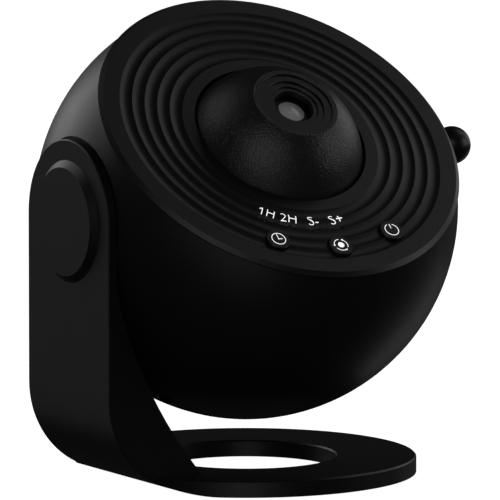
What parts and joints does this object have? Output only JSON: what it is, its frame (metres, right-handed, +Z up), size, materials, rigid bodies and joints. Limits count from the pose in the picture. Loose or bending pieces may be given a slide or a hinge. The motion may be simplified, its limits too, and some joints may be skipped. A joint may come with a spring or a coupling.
{
  "type": "planetarium projector",
  "caption": "Tabletop star projector: a tilting ball with a ribbed round face, lens dome, focus knob and push buttons, on a one-armed stand with a ring base.",
  "frame": {"origin": "on the table, on the axis of the base ring's hole, straight below the ball's centre", "axes": "+Z up; +X from the stand's arm towards the focus knob, along the tilt axis; -Y towards the side that the lens faces"},
  "size_m": [0.1481, 0.1417, 0.1562],
  "materials": {
    "shell_plastic": "fine moulded texture",
    "bezel_plastic": "satin",
    "stand_plastic": "satin",
    "dome_soft_touch": "soft-touch grain",
    "nozzle_plastic": "smooth",
    "knob_plastic": "smooth",
    "button_plastic": "satin",
    "cap_plastic": "satin",
    "rubber": "matt",
    "steel": "zinc plated",
    "bush_plastic": "acetal",
    "board": "solder mask",
    "component": "moulded",
    "ferrite": "sintered",
    "light_pipe": "clear",
    "led": "phosphor",
    "grey_plastic": "moulded",
    "white_plastic": "acetal",
    "film": "glossy film",
    "motor_can": "plated can",
    "heat_sink": "extruded",
    "lens_glass": "coated",
    "barrel": "black anodised"
  },
  "bodies": {
    "stand": {"stand_bracket": "stand_plastic", "rubber_feet": "rubber", "pivot_cap": "cap_plastic", "pivot_bolt": "steel", "friction_washer": "rubber", "spring_washer": "steel", "pivot_nut": "steel"},
    "ball": {"rear_shell": "shell_plastic", "front_bezel": "bezel_plastic", "shell_screws": "steel", "hub_bush": "bush_plastic", "control_board": "board", "board_screws": "steel", "switch_bodies": "component", "indicator_leds": "led", "light_pipes": "light_pipe", "focus_tube": "grey_plastic", "tube_screws": "steel", "ring_clip": "steel", "power_board": "board", "power_screws": "steel", "power_jack": "component", "driver_chips": "component", "power_choke": "ferrite"},
    "focus_lever": {"focus_ring": "white_plastic", "focus_stem": "steel", "focus_knob": "knob_plastic"},
    "lamp_stage": {"stage_plate": "grey_plastic", "cam_pins": "steel", "drive_motor": "motor_can", "motor_screws": "steel", "gear_clip": "steel", "lamp_tube": "grey_plastic", "condenser_lens": "lens_glass", "led_board": "board", "led_emitter": "led", "heat_sink": "heat_sink", "lamp_screws": "steel"},
    "disc_carrier": {"disc_gear": "white_plastic", "film_disc": "film"},
    "pinion": {"pinion_gear": "bush_plastic", "motor_shaft": "steel"},
    "dome": {"dome_cover": "dome_soft_touch", "nozzle_ring": "nozzle_plastic", "lens_barrel": "barrel", "front_lens": "lens_glass", "lens_retainer": "barrel", "rear_lens": "lens_glass"},
    "timer_key": {"timer_button": "button_plastic", "timer_plunger": "white_plastic"},
    "light_key": {"light_button": "button_plastic", "light_plunger": "white_plastic"},
    "power_key": {"power_button": "button_plastic", "power_plunger": "white_plastic"}
  },
  "joints": [
    {"name": "ball_tilt", "type": "hinge", "parent": "stand", "child": "ball", "pos_m": [0, 0, 0.0892], "axis": [1, 0, 0], "continuous": true},
    {"name": "focus_turn", "type": "hinge", "parent": "ball", "child": "focus_lever", "pos_m": [0, 0, 0.0892], "axis": [0, -0.6428, 0.766], "range_deg": [-15, 15]},
    {"name": "focus_slide", "type": "slide", "parent": "ball", "child": "lamp_stage", "axis": [0, -0.6428, 0.766], "range_m": [-0.0015, 0.0015]},
    {"name": "disc_spin", "type": "hinge", "parent": "lamp_stage", "child": "disc_carrier", "pos_m": [0, 0, 0.0892], "axis": [0, -0.6428, 0.766], "continuous": true},
    {"name": "pinion_spin", "type": "hinge", "parent": "lamp_stage", "child": "pinion", "pos_m": [0.035, -0.01157, 0.10299], "axis": [0, -0.6428, 0.766], "continuous": true},
    {"name": "dome_lift", "type": "slide", "parent": "ball", "child": "dome", "axis": [0, -0.6428, 0.766], "range_m": [0, 0.028]},
    {"name": "timer_press", "type": "slide", "parent": "ball", "child": "timer_key", "axis": [0, 0.6428, -0.766], "range_m": [0, 0.0005], "stiffness_N_per_m": 2000, "springref_m": -0.0004},
    {"name": "light_press", "type": "slide", "parent": "ball", "child": "light_key", "axis": [0, 0.6428, -0.766], "range_m": [0, 0.0005], "stiffness_N_per_m": 2000, "springref_m": -0.0004},
    {"name": "power_press", "type": "slide", "parent": "ball", "child": "power_key", "axis": [0, 0.6428, -0.766], "range_m": [0, 0.0005], "stiffness_N_per_m": 2000, "springref_m": -0.0004}
  ],
  "couplings": [
    {"joint": "focus_slide", "follows": "focus_turn", "m_per_rad": 0.0057296},
    {"joint": "pinion_spin", "follows": "disc_spin", "ratio": -6}
  ]
}
